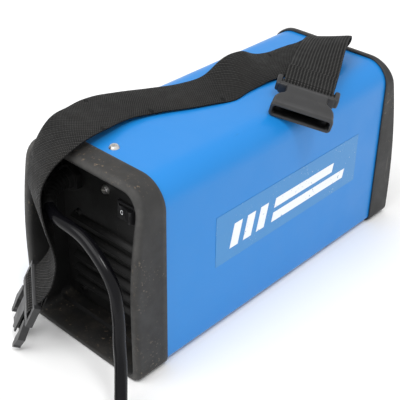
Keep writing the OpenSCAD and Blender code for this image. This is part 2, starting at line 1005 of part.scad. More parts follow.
module bridge_rectifier() {
    color("black") {
        box([18, 42, board_z + board_t + 9], [46, 60, board_z + board_t + 16]);
        for (x = [21, 43], y = [45, 57])
            box([x - 0.8, y - 0.8, board_z + board_t + 0.05],
                [x + 0.8, y + 0.8, board_z + board_t + 9 + eps]);
    }
}

module filter_capacitors() {
    color("navy")
        for (y = [-2, 27])
            translate([33, y, board_z + board_t + 0.05])
                cylinder(r = 12.5, h = 42);
}

transformer_at = [33, -42];

module transformer_core() {
    x = transformer_at[0];
    y = transformer_at[1];
    z = board_z + board_t + 0.05;
    color("darkslategray")
        difference() {
            box([x - 14, y - 24, z], [x + 14, y + 24, z + 48]);
            for (side = [-1, 1])
                box([x - 15, y + side * 12 - 6, z + 9], [x + 15, y + side * 12 + 6, z + 39]);
        }
}

module transformer_windings() {
    x = transformer_at[0];
    y = transformer_at[1];
    z = board_z + board_t + 0.05;
    color("goldenrod")
        difference() {
            box([x - 19, y - 17.5, z + 11], [x + 19, y + 17.5, z + 37]);
            box([x - 14.3, y - 6.3, z + 8], [x + 14.3, y + 6.3, z + 40]);
        }
}

choke_at = [34.5, -84];

module choke_core() {
    color("yellowgreen")
        translate([choke_at[0], choke_at[1], board_z + board_t + 22])
            rotate([90, 0, 0])
                rotate_extrude()
                    translate([11.5, -6])
                        square([8, 12]);
}

module choke_winding() {
    turns = 10;
    color("peru")
        translate([choke_at[0], choke_at[1], board_z + board_t + 22])
            for (i = [0:turns - 1])
                rotate([0, i * 360 / turns, 0])
                    translate([15.5, 0, 0])
                        difference() {
                            cube([11.6, 15.6, 2.6], center = true);
                            cube([8.2, 12.2, 4], center = true);
                        }
}

module mains_filter() {
    color("dimgray")
        difference() {
            box([-46, 32, board_z + board_t + 0.05], [-22, 60, board_z + 30]);
            translate([-34, 46, board_z + 22])
                cylinder(r = 5, h = 20);
        }
}

// A copper strap from the board up to a socket's stud
module busbar(x, y1) {
    y0 = front_panel_y + 25;
    color("chocolate")
        difference() {
            union() {
                box([x - 6, y0, board_z + board_t + 0.1], [x + 6, y0 + 2, socket_z + 10]);
                box([x - 6, y0, board_z + board_t + 0.1], [x + 6, y1, board_z + board_t + 2]);
            }
            rod_y([x, socket_z], 4.1, y0 - 1, y0 + 3);
        }
}

module positive_busbar() { busbar(-socket_x, -88); }
module negative_busbar() { busbar(socket_x, -98); }

shell_cover();
base_tray();
front_bezel();
rear_bezel();
front_panel();
rear_panel();
cover_screws();
base_screws();
front_panel_screws();
rear_panel_screws();
switch_body();
switch_rocker();
cable_gland();
gland_nut();
strain_relief();
mains_cable();
cable_coil();
plug_lead();
plug_body();
plug_pins();
plug_earth_clips();
fan_frame();
fan_rotor();
fan_screws();
positive_socket();
negative_socket();
positive_contact();
negative_contact();
socket_nuts();
current_knob();
knob_shaft();
dial_plate();
potentiometer();
power_light();
fault_light();
side_label();
shoulder_strap();
strap_hem();
buckle_female();
buckle_male();
buckle_arm_near();
buckle_arm_far();
power_board();
control_board();
board_standoffs();
inverter_heatsink();
rectifier_heatsink();
inverter_transistors();
rectifier_diodes();
bridge_rectifier();
filter_capacitors();
transformer_core();
transformer_windings();
choke_core();
choke_winding();
mains_filter();
positive_busbar();
negative_busbar();
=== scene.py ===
"""Stick welding inverter: the looks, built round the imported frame. Metres, +Z up."""
import json
import math

import bmesh
import bpy
from mathutils import Euler, Matrix, Vector, noise


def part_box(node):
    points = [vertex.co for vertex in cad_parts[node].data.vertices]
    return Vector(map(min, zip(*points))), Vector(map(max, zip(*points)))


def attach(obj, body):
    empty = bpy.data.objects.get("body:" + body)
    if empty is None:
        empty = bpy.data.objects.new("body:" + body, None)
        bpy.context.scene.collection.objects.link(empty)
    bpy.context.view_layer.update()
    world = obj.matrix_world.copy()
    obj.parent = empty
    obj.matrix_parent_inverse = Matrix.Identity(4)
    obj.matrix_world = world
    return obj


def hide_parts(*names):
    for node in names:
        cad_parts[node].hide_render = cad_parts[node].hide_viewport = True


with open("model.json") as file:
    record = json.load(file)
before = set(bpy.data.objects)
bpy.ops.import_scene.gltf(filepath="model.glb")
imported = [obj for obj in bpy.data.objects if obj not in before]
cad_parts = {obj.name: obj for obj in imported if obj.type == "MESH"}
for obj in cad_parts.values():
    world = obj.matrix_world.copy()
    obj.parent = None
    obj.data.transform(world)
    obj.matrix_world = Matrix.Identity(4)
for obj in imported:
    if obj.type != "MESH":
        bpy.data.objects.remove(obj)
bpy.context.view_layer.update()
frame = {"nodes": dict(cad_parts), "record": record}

MM = 0.001
ROOT = "machine"

# Sizes that the design shares with these pieces, in millimetres
SHELL_W, SHELL_H, SHELL_LIFT, SHELL_T = 118, 152, 3, 1.5
SHELL_R, SHELL_R_FOOT = 20, 4
END_Y, LAP = 128, 6
PROUD, RIM_T, RIM_FLOOR_T = 2, 8, 3.5
REAR_DEPTH, FRONT_DEPTH = 30, 28
REAR_BOW = (60, 400)
FRONT_BOW = (20, 450)
CABLE_D = 9
STRAP_W, STRAP_T = 40, 1.8
REAR_PANEL_Y, FRONT_PANEL_Y, PANEL_T = 124, -134, 3


def put(name, data):
    """An object for that data, linked to the scene."""
    obj = bpy.data.objects.new(name, data)
    bpy.context.scene.collection.objects.link(obj)
    return obj


# ---------- camera ----------

CAMERA_AT = (-0.41644, 0.47850, 0.46973)
CAMERA_TURN = (137.07, 33.09, 0.77)
CAMERA_LENS, SENSOR = 82.7, 36


def add_camera():
    """Yaw from +Y, pitch downwards and roll, in degrees, round the camera's own place."""
    yaw, pitch, roll = (math.radians(a) for a in CAMERA_TURN)
    forward = Vector((math.cos(pitch) * math.sin(yaw), math.cos(pitch) * math.cos(yaw),
                      -math.sin(pitch)))
    level = forward.cross(Vector((0, 0, 1))).normalized()
    upright = level.cross(forward)
    right = math.cos(roll) * level + math.sin(roll) * upright
    up = -math.sin(roll) * level + math.cos(roll) * upright
    data = bpy.data.cameras.new("camera")
    data.sensor_width = SENSOR
    data.lens = CAMERA_LENS
    data.clip_start = 0.01
    camera = put("camera", data)
    axes = Matrix((right, up, -forward)).transposed().to_4x4()
    camera.matrix_world = Matrix.Translation(CAMERA_AT) @ axes
    bpy.context.scene.camera = camera
    bpy.context.scene.view_settings.view_transform = "Standard"


add_camera()


# ---------- mesh helpers ----------

def new_object(name, verts, faces, sharp=35):
    """A mesh object from points in millimetres, smooth but for edges sharper than that angle."""
    mesh = bpy.data.meshes.new(name)
    mesh.from_pydata([Vector(v) * MM for v in verts], [], faces)
    mesh.validate()
    bm = bmesh.new()
    bm.from_mesh(mesh)
    bmesh.ops.remove_doubles(bm, verts=bm.verts, dist=1e-6)
    bmesh.ops.recalc_face_normals(bm, faces=bm.faces)
    for face in bm.faces:
        face.smooth = True
    for edge in bm.edges:
        edge.smooth = not (edge.is_manifold and edge.calc_face_angle(0) > math.radians(sharp))
    bm.to_mesh(mesh)
    bm.free()
    return put(name, mesh)


def loft(rings, closed=False, caps=True):
    """Points and faces through rings of equally many points."""
    n = len(rings[0])
    verts = [p for ring in rings for p in ring]
    faces = []
    last = len(rings) if closed else len(rings) - 1
    for i in range(last):
        a, b = i * n, (i + 1) % len(rings) * n
        for k in range(n):
            j = (k + 1) % n
            faces.append((a + k, a + j, b + j, b + k))
    if caps and not closed:
        faces.append(tuple(range(n - 1, -1, -1)))
        faces.append(tuple((len(rings) - 1) * n + k for k in range(n)))
    return verts, faces


def merge(shapes):
    """The points and faces of several lofts as one."""
    verts, faces = [], []
    for points, sides in shapes:
        base = len(verts)
        verts += points
        faces += [tuple(k + base for k in face) for face in sides]
    return verts, faces


def spline(points, steps):
    """The smooth curve through points, with that many steps to each span."""
    points = [Vector(p) for p in points]
    last = len(points) - 1
    out = []
    for i in range(last):
        a, b, c, d = (points[max(i - 1, 0)], points[i], points[i + 1], points[min(i + 2, last)])
        for s in range(steps):
            t = s / steps
            out.append(b + 0.5 * t * (c - a + t * (2 * a - 5 * b + 4 * c - d
                                                   + t * (3 * (b - c) + d - a))))
    return out + [points[last]]


def tangents(points):
    last = len(points) - 1
    return [(points[min(i + 1, last)] - points[max(i - 1, 0)]).normalized()
            for i in range(last + 1)]


def tube(name, points, radius, sides=24):
    """A round tube along points; radius is a function of the place from 0 to 1."""
    side = None
    rings = []
    for i, (p, t) in enumerate(zip(points, tangents(points))):
        side = t.orthogonal() if side is None else side - side.dot(t) * t
        side.normalize()
        other = t.cross(side)
        r = radius(i / (len(points) - 1))
        rings.append([p + r * (math.cos(a) * side + math.sin(a) * other)
                      for a in (math.tau * k / sides for k in range(sides))])
    return new_object(name, *loft(rings))


SELVEDGE, SELVEDGE_SWELL, SELVEDGE_TAPER = 0.88, 0.18, 0.75


def half_thickness(place, thick):
    """Half a band's thickness at a place from 0 in its middle to 1 at its edge."""
    edge = max(0.0, (place - SELVEDGE) / (1 - SELVEDGE))
    swell = 1 + SELVEDGE_SWELL * math.sin(math.pi * edge)
    return thick / 2 * swell * math.sqrt(1 - SELVEDGE_TAPER * edge ** 3)


def ribbon(name, centres, widths, width, thick, cup=0.0, across=12):
    """A band of webbing: it carries its own lengths as UVs, in metres, for the weave."""
    rings, runs, run = [], [], 0.0
    for i, (p, t) in enumerate(zip(centres, tangents(centres))):
        w = widths[i].normalized()
        n = t.cross(w).normalized()
        run += (p - centres[i - 1]).length if i else 0.0
        runs.append(run)
        ring = []
        for side in (1, -1):
            for k in range(across + 1):
                a = (k / across * 2 - 1) * side
                half = half_thickness(abs(a), thick)
                ring.append(p + w * (a * width / 2) + n * (side * half - cup * a * a))
        rings.append(ring)
    verts, faces = loft(rings)
    obj = new_object(name, verts, faces, sharp=60)
    layer = obj.data.uv_layers.new(name="webbing")
    lengths = {}
    for i, ring in enumerate(rings):
        for k, p in enumerate(ring):
            a = k / across * 2 - 1 if k <= across else 1 - (k - across - 1) / across * 2
            lengths[tuple(round(c, 3) for c in p)] = ((a + 1) * width / 2 * MM, runs[i] * MM)
    for loop in obj.data.loops:
        co = obj.data.vertices[loop.vertex_index].co / MM
        key = tuple(round(c, 3) for c in co)
        layer.data[loop.index].uv = lengths.get(key, (0.0, 0.0))
    return obj


def place(obj, at, turn):
    """Moves a piece drawn at the origin to a place in millimetres and turns in degrees."""
    turn = Euler([math.radians(a) for a in turn], "XYZ")
    obj.data.transform(Matrix.Translation(Vector(at) * MM) @ turn.to_matrix().to_4x4())
    return obj


def dress(obj, material, body=ROOT, replaces=()):
    obj.data.materials.clear()
    obj.data.materials.append(material)
    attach(obj, body)
    if replaces:
        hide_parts(*replaces)
    return obj


# ---------- materials ----------

class Shader:
    """A node material round one principled shader."""

    def __init__(self, name, colour, roughness=0.5, metallic=0.0, **sockets):
        self.material = bpy.data.materials.new(name)
        self.material.use_nodes = True
        self.tree = self.material.node_tree
        self.bsdf = self.tree.nodes["Principled BSDF"]
        self.colour = (*colour, 1)
        self.set("Base Color", self.colour)
        self.set("Roughness", roughness)
        self.set("Metallic", metallic)
        for key, value in sockets.items():
            self.set(key.replace("_", " "), value)
        self.height = None

    def set(self, socket, value):
        self.bsdf.inputs[socket].default_value = value

    def add(self, kind, **inputs):
        node = self.tree.nodes.new("ShaderNode" + kind)
        for key, value in inputs.items():
            key = key.replace("_", " ")
            if hasattr(value, "is_output"):
                self.tree.links.new(value, node.inputs[key])
            else:
                node.inputs[key].default_value = value
        return node

    def join(self, output, target):
        self.tree.links.new(output, target)

    def where(self):
        return self.add("TexCoord").outputs["Object"]

    def noise(self, scale, detail=3.0, rough=0.55, vector=None, stretch=None):
        vector = vector or self.where()
        if stretch:
            vector = self.add("Mapping", Vector=vector, Scale=stretch).outputs[0]
        return self.add("TexNoise", Vector=vector, Scale=scale, Detail=detail,
                        Roughness=rough).outputs["Fac"]

    def range(self, value, low, high, to_low=0.0, to_high=1.0):
        node = self.add("MapRange", Value=value)
        for key, number in (("From Min", low), ("From Max", high), ("To Min", to_low),
                            ("To Max", to_high)):
            node.inputs[key].default_value = number
        return node.outputs[0]

    def maths(self, operation, a, b=None):
        node = self.tree.nodes.new("ShaderNodeMath")
        node.operation = operation
        for socket, value in zip(node.inputs, (a, b)):
            if value is None:
                continue
            if hasattr(value, "is_output"):
                self.join(value, socket)
            else:
                socket.default_value = value
        return node.outputs[0]

    def tint(self, factor, colour, under=None):
        """Mixes colour over what is there, or over under, by factor."""
        node = self.tree.nodes.new("ShaderNodeMix")
        node.data_type = "RGBA"
        self.join(factor, node.inputs["Factor"])
        link = self.bsdf.inputs["Base Color"].links
        if link:
            self.join(link[0].from_socket, node.inputs[6])
        else:
            node.inputs[6].default_value = (*(under or self.colour[:3]), 1)
        node.inputs[7].default_value = (*colour, 1)
        self.join(node.outputs[2], self.bsdf.inputs["Base Color"])
        return self

    def rough(self, value, low, high):
        self.join(self.range(value, 0.3, 0.7, low, high), self.bsdf.inputs["Roughness"])
        return self

    def bump(self, height, strength, distance):
        node = self.add("Bump", Height=height, Strength=strength, Distance=distance)
        if self.height:
            self.join(self.height, node.inputs["Normal"])
        self.height = node.outputs[0]
        self.join(self.height, self.bsdf.inputs["Normal"])
        return self

    def face_up(self, low=0.55, high=0.95):
        """How much a point faces upwards, for dust that has settled."""
        normal = self.add("NewGeometry").outputs["Normal"]
        return self.range(self.add("SeparateXYZ", Vector=normal).outputs[2], low, high)

    def done(self):
        return self.material


def painted_steel():
    s = Shader("blue_enamel", (0.010, 0.212, 0.60), 0.34, Coat_Weight=0.06, Coat_Roughness=0.2,
               Specular_IOR_Level=0.36)
    s.tint(s.range(s.noise(9, 4), 0.35, 0.7, 0, 0.35), (0.014, 0.228, 0.635))
    scuffs = s.maths("MULTIPLY", s.range(s.noise(60, 5, 0.7, stretch=(1, 0.25, 1)), 0.66, 0.72),
                     s.range(s.noise(12, 2), 0.5, 0.62))
    s.tint(s.maths("MULTIPLY", scuffs, 0.35), (0.01, 0.07, 0.2))
    s.rough(s.noise(40, 4), 0.28, 0.42)
    return s.bump(s.noise(900, 2), 0.06, 0.0002).bump(s.noise(14, 1), 0.1, 0.0006).done()


def frame_plastic():
    s = Shader("scuffed_frame", (0.026, 0.026, 0.026), 0.55, Specular_IOR_Level=0.28)
    s.tint(s.range(s.noise(35, 5, 0.65), 0.4, 0.75, 0, 0.7), (0.046, 0.045, 0.044))
    # A per-point tone from the end frames: above 0 a lighter band on the rounded rim, edge wear
    # and painted highlight together; below 0 painted shade in the recess.
    tone_mask = s.add("Attribute")
    tone_mask.attribute_name = "tone_mask"
    # Lighter rounded edges, broken up by noise: edge wear and painted highlight.
    edge = s.maths("MULTIPLY", s.range(tone_mask.outputs["Fac"], 0, 1),
                   s.range(s.noise(70, 5, 0.7), 0.35, 0.75, 0.25, 0.9))
    s.tint(edge, (0.088, 0.085, 0.080))
    specks = s.maths("MULTIPLY", s.range(s.noise(520, 2, 0.5), 0.62, 0.7),
                     s.range(s.noise(26, 3), 0.48, 0.62))
    s.tint(s.maths("MULTIPLY", specks, 0.6), (0.22, 0.18, 0.13))
    scratch = s.range(s.noise(240, 3, 0.6, stretch=(1, 1, 0.12)), 0.66, 0.73, 0, 0.45)
    s.tint(s.maths("MULTIPLY", scratch, s.range(s.noise(18, 2), 0.46, 0.58)), (0.18, 0.165, 0.15))
    # Painted shade: near black inside the recess and down the tub, where the tone is below 0.
    s.tint(s.range(tone_mask.outputs["Fac"], 0, -1), (0.007, 0.007, 0.007))
    film = s.maths("MULTIPLY", s.face_up(), s.range(s.noise(60, 5, 0.7), 0.42, 0.7, 0, 0.7))
    s.tint(film, (0.038, 0.033, 0.027))
    grit = s.maths("MULTIPLY", s.range(s.noise(430, 3, 0.6), 0.62, 0.7),
                   s.range(s.noise(48, 3), 0.42, 0.58))
    s.tint(s.maths("MULTIPLY", s.maths("MULTIPLY", grit, s.face_up()), 0.8), (0.17, 0.13, 0.09))
    s.rough(s.noise(90, 4), 0.48, 0.66)
    return s.bump(s.noise(1400, 2), 0.25, 0.00015).bump(s.noise(45, 4), 0.15, 0.0005).done()


def moulded(name, colour, roughness=0.5, dust=0.25, gloss=0.3):
    """Moulded plastic; a piece may paint shade into its pockets with a point attribute, near
    black where it is 1.
    """
    light = tuple(c * 1.6 + 0.004 for c in colour)
    s = Shader(name, colour, roughness, Specular_IOR_Level=gloss)
    s.tint(s.range(s.noise(60, 4), 0.4, 0.75, 0, 0.5), light)
    s.tint(s.range(s.noise(500, 2), 0.68, 0.76, 0, dust), (0.2, 0.17, 0.13))
    pocket = s.add("Attribute")
    pocket.attribute_name = "pocket"
    # Painted shade: near black in a piece's pockets, where the point attribute is 1.
    s.tint(pocket.outputs["Fac"], (0.002, 0.002, 0.002))
    s.rough(s.noise(80, 3), roughness - 0.07, roughness + 0.1)
    return s.bump(s.noise(1800, 2), 0.2, 0.0001).done()


def glossy(name, colour, roughness=0.2, coat=0.3, gloss=0.3):
    s = Shader(name, colour, roughness, Coat_Weight=coat, Coat_Roughness=0.1,
               Specular_IOR_Level=gloss)
    s.tint(s.range(s.noise(25, 4), 0.45, 0.8, 0, 0.3), tuple(c * 1.5 + 0.003 for c in colour))
    s.rough(s.noise(50, 4), roughness, roughness + 0.12)
    return s.bump(s.noise(300, 2), 0.05, 0.0002).done()


def metal(name, colour, roughness=0.3, stretch=(1, 1, 1)):
    s = Shader(name, colour, roughness, metallic=1.0)
    s.tint(s.range(s.noise(40, 5), 0.5, 0.8, 0, 0.6), tuple(c * 0.6 for c in colour))
    s.rough(s.noise(200, 4, stretch=stretch), roughness, roughness + 0.2)
    return s.bump(s.noise(900, 3, stretch=stretch), 0.12, 0.0001).done()


def lens(name, colour):
    s = Shader(name, colour, 0.15, Transmission_Weight=0.35, Coat_Weight=0.6)
    s.tint(s.range(s.noise(400, 2), 0.4, 0.7, 0, 0.4), tuple(c * 0.6 for c in colour))
    return s.bump(s.noise(1200, 1), 0.05, 0.0001).done()


CELL, TWILL, RIB = 0.0018, 0.0030, 0.0025


def webbing():
    """Black nylon: small diagonal cells on the face, lengthwise ribs beyond the fold."""
    s = Shader("black_webbing", (0.006, 0.006, 0.006), 0.7, Specular_IOR_Level=0.16)
    uv = s.add("UVMap")
    uv.uv_map = "webbing"
    split = s.add("SeparateXYZ", Vector=uv.outputs[0])
    across, along = split.outputs[0], split.outputs[1]

    def wave_of(value, pitch):
        return s.maths("SINE", s.maths("MULTIPLY", value, math.tau / pitch))
    wave = [wave_of(value, CELL) for value in (across, along)]
    lean = s.maths("ADD", across, along)
    diagonal = wave_of(lean, TWILL)
    ribbed = s.add("Attribute")
    ribbed.attribute_name = "ribbed"
    twill = s.maths("ADD", s.maths("MULTIPLY", wave[0], wave[1]),
                    s.maths("MULTIPLY", diagonal, 0.3))
    rib = s.maths("ADD", s.maths("MULTIPLY", wave_of(across, RIB), 0.6),
                  s.maths("MULTIPLY", wave[1], 0.35))
    mix = s.add("MapRange", Value=ribbed.outputs["Fac"])
    s.join(twill, mix.inputs["To Min"])
    s.join(rib, mix.inputs["To Max"])
    weave = mix.outputs[0]
    s.tint(s.range(weave, 0.1, 1.3), (0.085, 0.083, 0.080))
    s.tint(s.range(s.noise(30, 4), 0.5, 0.75, 0, 0.3), (0.028, 0.026, 0.023))
    s.tint(s.range(s.noise(700, 2), 0.72, 0.8, 0, 0.3), (0.16, 0.145, 0.12))
    s.rough(s.noise(120, 3), 0.55, 0.75)
    return s.bump(weave, 1.0, 0.0003).bump(s.noise(900, 3), 0.3, 0.0002).done()


def label_film():
    s = Shader("label_film", (0.040, 0.235, 0.54), 0.34, Coat_Weight=0.08, Coat_Roughness=0.15,
               Specular_IOR_Level=0.42)
    s.tint(s.range(s.noise(70, 5, 0.7), 0.45, 0.75, 0, 0.3), (0.066, 0.27, 0.55))
    specks = s.maths("MULTIPLY", s.range(s.noise(620, 3, 0.6), 0.65, 0.7),
                     s.range(s.noise(45, 3), 0.46, 0.6))
    s.tint(s.maths("MULTIPLY", specks, 0.85), (0.6, 0.66, 0.68))
    return s.bump(s.noise(420, 3), 0.12, 0.0002).done()


def white_ink():
    s = Shader("white_ink", (0.86, 0.88, 0.9), 0.4)
    tone_mask = s.maths("MULTIPLY", s.range(s.noise(380, 4, 0.65), 0.62, 0.68),
                   s.range(s.noise(50, 3), 0.42, 0.55))
    s.tint(tone_mask, (0.045, 0.2, 0.42))
    return s.bump(s.noise(900, 2), 0.1, 0.0001).done()


def circuit_board():
    s = Shader("circuit_board", (0.01, 0.09, 0.03), 0.35, Coat_Weight=0.3)
    cells = s.add("TexVoronoi", Vector=s.where(), Scale=160.0)
    s.tint(s.range(cells.outputs["Distance"], 0.1, 0.14, 0.8, 0), (0.5, 0.48, 0.4))
    lines = s.add("TexBrick", Vector=s.where(), Scale=60.0)
    s.tint(s.range(lines.outputs["Fac"], 0.4, 0.6, 0, 0.5), (0.02, 0.17, 0.06))
    return s.bump(s.noise(300, 2), 0.1, 0.0002).done()


def winding():
    s = Shader("enamelled_copper", (0.35, 0.12, 0.03), 0.3, metallic=0.7, Coat_Weight=0.5)
    bands = s.add("TexWave", Vector=s.where(), Scale=220.0)
    s.tint(s.range(bands.outputs["Fac"], 0.1, 0.6, 0.8, 0), (0.12, 0.035, 0.01))
    return s.bump(bands.outputs["Fac"], 0.6, 0.0004).done()


FINISH = {
    "shell_paint": painted_steel(),
    "zinc_sheet": metal("zinc_sheet", (0.55, 0.56, 0.57), 0.35),
    "frame_plastic": frame_plastic(),
    "panel_plastic": moulded("panel_plastic", (0.006, 0.006, 0.006), 0.5, 0.35, 0.25),
    "black_screw": metal("black_oxide", (0.03, 0.03, 0.03), 0.45),
    "screw_steel": metal("screw_steel", (0.72, 0.71, 0.69), 0.22),
    "switch_plastic": glossy("switch_plastic", (0.012, 0.012, 0.013), 0.25, 0.1),
    "gland_plastic": moulded("gland_plastic", (0.006, 0.006, 0.006), 0.5, 0.1, 0.2),
    "cable_pvc": glossy("cable_jacket", (0.003, 0.003, 0.004), 0.14, 0.1, 0.14),
    "plug_plastic": moulded("plug_plastic", (0.016, 0.016, 0.016), 0.4),
    "socket_plastic": moulded("socket_plastic", (0.018, 0.018, 0.018), 0.4),
    "brass_contact": metal("brass", (0.78, 0.56, 0.24), 0.25),
    "knob_plastic": moulded("knob_plastic", (0.02, 0.02, 0.021), 0.42),
    "dial_print": moulded("dial_print", (0.5, 0.5, 0.49), 0.4, 0.1),
    "green_lens": lens("green_lens", (0.03, 0.5, 0.08)),
    "amber_lens": lens("amber_lens", (0.8, 0.35, 0.02)),
    "label_film": label_film(),
    "webbing": webbing(),
    "buckle_plastic": moulded("buckle_plastic", (0.017, 0.017, 0.018), 0.42, 0.12, 0.5),
    "board_fibre": circuit_board(),
    "bare_aluminium": metal("bare_aluminium", (0.7, 0.7, 0.71), 0.3, (1, 0.1, 1)),
    "chip_epoxy": moulded("chip_epoxy", (0.02, 0.02, 0.02), 0.45, 0.1),
    "capacitor_sleeve": glossy("capacitor_sleeve", (0.01, 0.02, 0.1), 0.25),
    "ferrite": moulded("ferrite", (0.05, 0.05, 0.055), 0.6, 0.1),
    "winding_enamel": winding(),
    "copper_bar": metal("copper_bar", (0.75, 0.38, 0.22), 0.3),
}


# ---------- mains lead ----------

CABLE_ROUTE = [
    (40, 134, 118), (39, 141, 118), (36, 148, 117), (31, 154, 115.5), (24, 159, 114.5),
    (15, 162.5, 114), (5, 164, 113.5), (-6, 164, 113), (-17, 164, 111), (-28, 165, 107),
    (-38, 166, 101), (-46, 167, 94), (-52, 168, 85), (-56, 170, 74), (-59, 172, 63),
    (-62, 175, 51), (-66, 178, 39), (-71, 183, 27), (-78, 190, 16), (-88, 199, 8.5),
    (-100, 211, 5), (-113, 224, 4.5), (-123, 234, 4.5), (-133, 244, 4.5),
]
COIL_R = 49
COIL_ENTRY_TURN = 225
COIL_TURNS, COIL_STEPS = 4.5, 40
RELIEF_POINTS = 5


def coil_points():
    """Two turns in on the ground, up, and two turns out on top, clockwise, to the way out."""
    outer = COIL_R + CABLE_D
    start = math.radians(COIL_ENTRY_TURN)
    entry = Vector(CABLE_ROUTE[-1])
    centre = entry - Vector((math.cos(start), math.sin(start), 0)) * outer
    points = []
    for i in range(1, int(COIL_TURNS * COIL_STEPS) + 1):
        t = i / COIL_STEPS
        inward = min(t, 2) - max(0.0, t - 2.5)
        lift = min(1.0, max(0.0, (t - 2) / 0.5))
        lift = lift * lift * (3 - 2 * lift)
        r = outer - CABLE_D * inward
        a = start - math.tau * t
        points.append(centre + Vector((r * math.cos(a), r * math.sin(a), CABLE_D * lift)))
    return points


def add_cable():
    route = spline(CABLE_ROUTE, 5)
    coil = coil_points()
    way = (coil[-1] - coil[-2]).normalized()
    lead = [coil[-1] + along * way + Vector((0, 0, rise))
            for along, rise in ((12, 1), (24, 3), (36, 4.5), (46, 5), (50, 5))]
    points = [Vector((40, 126, 118)), Vector((40, 130, 118))] + route + coil + lead
    data = bpy.data.curves.new("mains_lead", "CURVE")
    data.dimensions = "3D"
    data.bevel_depth = CABLE_D / 2 * MM
    data.bevel_resolution = 6
    line = data.splines.new("POLY")
    line.points.add(len(points) - 1)
    for target, p in zip(line.points, points):
        target.co = (*(p * MM), 1)
    line.use_smooth = True
    return dress(put("mains_lead", data), FINISH["cable_pvc"],
                 replaces=("mains_cable", "cable_coil", "plug_lead"))


BOOT_R, BOOT_TAPER, BOOT_RINGS, BOOT_GROOVE = 7.3, 2.3, 8, 0.3


def add_strain_relief():
    """A tapered boot, ringed with shallow grooves and rounded at its mouth."""
    points = spline(CABLE_ROUTE[:RELIEF_POINTS], 14)

    def radius(t):
        ring = 0.5 - 0.5 * math.cos(math.tau * BOOT_RINGS * t)
        lip = 0.3 * max(0.0, (t - 0.94) / 0.06)
        return BOOT_R - BOOT_TAPER * t - BOOT_GROOVE * ring * (0.08 < t < 0.9) - lip
    boot = tube("strain_relief_boot", points, radius)
    return dress(boot, FINISH["gland_plastic"], replaces=("strain_relief",))


cable = add_cable()
boot = add_strain_relief()


# ---------- cover and end frames ----------

def outline(width, z0, z1, r_top, r_foot, corner=10, side=26, flat=14):
    """Points round an upright outline, from the middle of its foot, always equally many."""
    half = width / 2
    points = []

    def run(a, b, count):
        points.extend((a[0] + (b[0] - a[0]) * k / count, a[1] + (b[1] - a[1]) * k / count)
                      for k in range(count))

    def arc(cx, cz, r, start):
        points.extend((cx + r * math.cos(math.radians(start + 90 * k / corner)),
                       cz + r * math.sin(math.radians(start + 90 * k / corner)))
                      for k in range(corner))
    run((-half + r_foot, z0), (half - r_foot, z0), flat)
    arc(half - r_foot, z0 + r_foot, r_foot, -90)
    run((half, z0 + r_foot), (half, z1 - r_top), side)
    arc(half - r_top, z1 - r_top, r_top, 0)
    run((half - r_top, z1), (-half + r_top, z1), flat)
    arc(-half + r_top, z1 - r_top, r_top, 90)
    run((-half, z1 - r_top), (-half, z0 + r_foot), side)
    arc(-half + r_foot, z0 + r_foot, r_foot, 180)
    return points


def shell_outline(inset):
    return outline(SHELL_W - 2 * inset, SHELL_LIFT + inset, SHELL_LIFT + SHELL_H - inset,
                   SHELL_R - inset, SHELL_R_FOOT - inset)


RIM_TOP = SHELL_LIFT + SHELL_H + PROUD
RIM_W = SHELL_W + 2 * PROUD
RIM_FOOT_R, MOUTH_R, MOUTH_FOOT_R = 8, 14, 5
TUB_STEP = 2.5
LIP = 4


def rim_outline(inset=0.0):
    return outline(RIM_W - 2 * inset, inset, RIM_TOP - inset, SHELL_R + PROUD - inset,
                   RIM_FOOT_R - inset)


def mouth_outline(floor, inset=0.0):
    return outline(RIM_W - 2 * RIM_T - 2 * inset, floor + inset, RIM_TOP - RIM_T - inset,
                   MOUTH_R - inset, MOUTH_FOOT_R - inset)


def bowed(outer_y, bow, z):
    """How far out an end frame reaches at height z."""
    start, radius = bow
    rise = max(0.0, z - start)
    return outer_y - radius + math.sqrt(radius ** 2 - rise ** 2)


